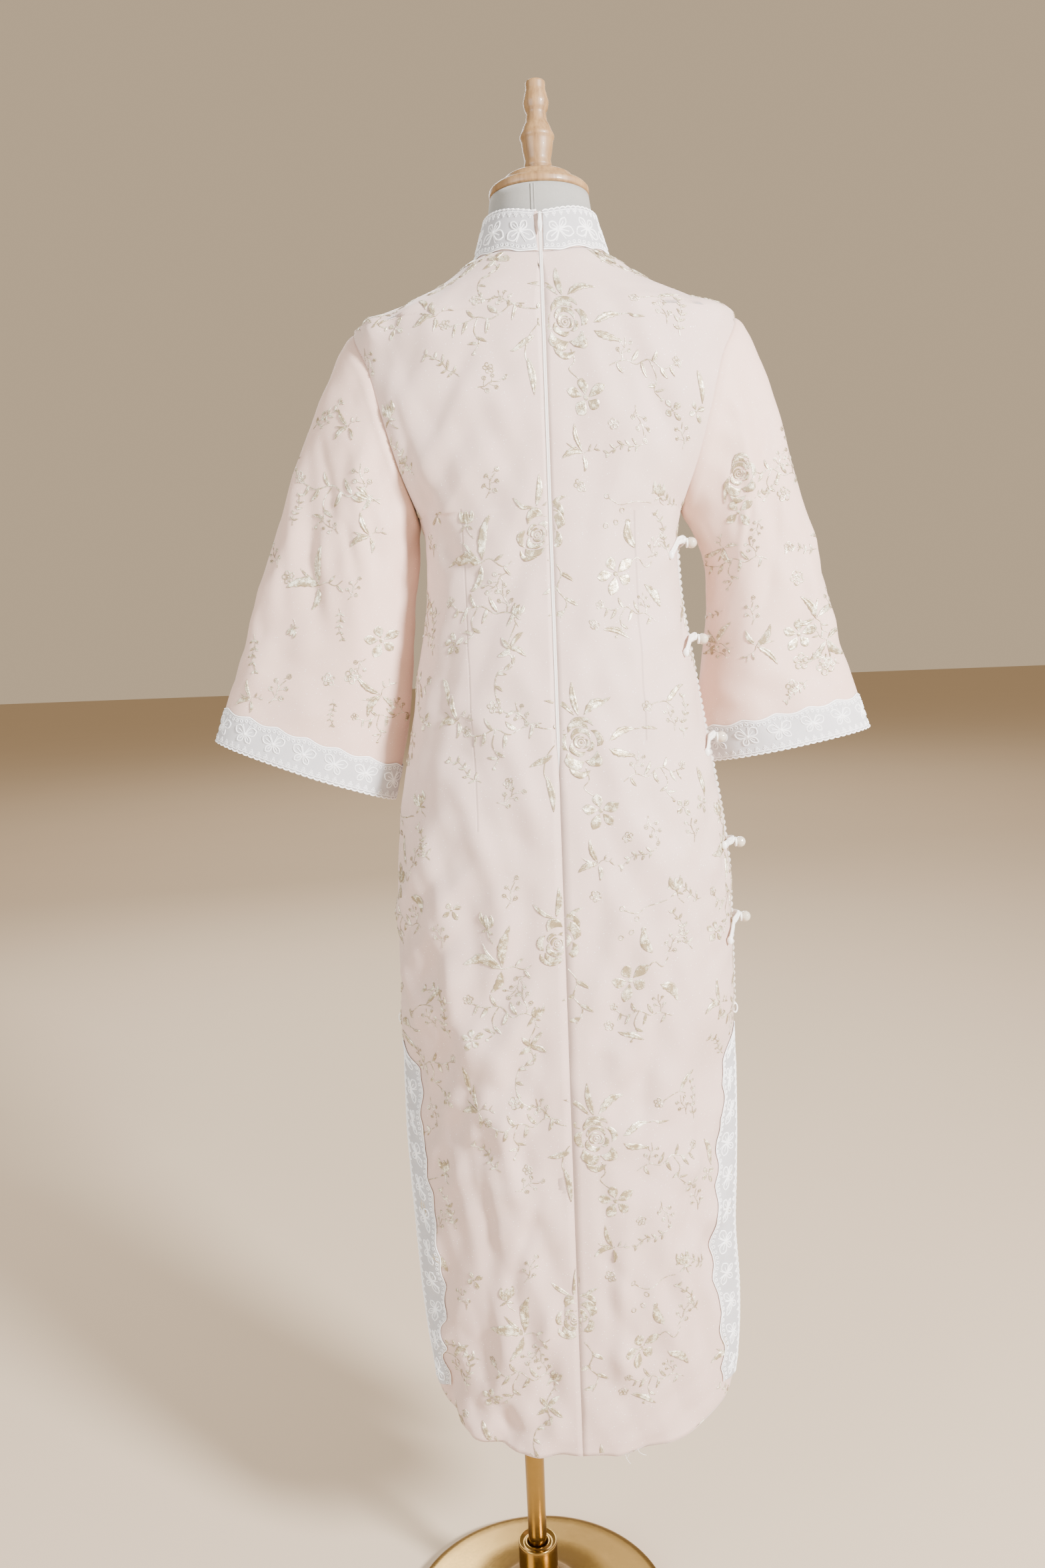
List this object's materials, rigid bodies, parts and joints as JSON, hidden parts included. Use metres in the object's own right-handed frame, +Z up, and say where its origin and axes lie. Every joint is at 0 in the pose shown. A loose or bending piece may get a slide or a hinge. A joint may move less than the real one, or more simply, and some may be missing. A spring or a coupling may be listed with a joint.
{
  "type": "ao dai style dress on a limbless dress form and stand",
  "caption": "Long stand-collar brocade dress with flared sleeves, side slits, lace borders and pearl frogs, worn by a limbless dress form on a round-footed stand.",
  "frame": {"origin": "on the floor under the middle of the stand's foot and pole", "axes": "+Z up; the dress's back, with its zip, faces -Y and its front faces +Y; +X is the side with the frogs, the wearer's right"},
  "size_m": [0.704, 0.3, 1.6656],
  "materials": {
    "brocade": "matt pale pink jacquard with a soft gold-beige floral figure",
    "lace": "white embroidered net lace",
    "satin": "white satin cord",
    "pearl": "pearl lustre",
    "zip": "white zip tape, slider and tab",
    "wood": "turned light wood, satin varnish",
    "jersey": "grey stretch cover",
    "brass": "polished gold plating"
  },
  "bodies": {
    "dressed_form": {"back_left": "brocade", "back_right": "brocade", "front": "brocade", "sleeve_left": "brocade", "sleeve_right": "brocade", "collar": "brocade", "collar_lace": "lace", "cuff_lace_left": "lace", "cuff_lace_right": "lace", "slit_lace_back_left": "lace", "slit_lace_back_right": "lace", "slit_lace_front_left": "lace", "slit_lace_front_right": "lace", "side_edging": "lace", "zip_tape": "zip", "zip_slider": "zip", "frog_1": "satin", "frog_2": "satin", "frog_3": "satin", "frog_4": "satin", "frog_5": "satin", "pearl_1": "pearl", "pearl_2": "pearl", "pearl_3": "pearl", "pearl_4": "pearl", "pearl_5": "pearl", "form": "jersey", "neck_cap": "wood", "finial": "wood", "pole": "brass", "pole_flange": "brass", "pole_sleeve": "brass", "stand_foot": "brass"},
    "zip_pull": {"zip_pull": "zip"}
  },
  "joints": [
    {"name": "pull_hinge", "type": "hinge", "parent": "dressed_form", "child": "zip_pull", "pos_m": [0.055, -0.06067, 1.51927], "axis": [-1, 0, 0], "range_deg": [0, 160]}
  ]
}
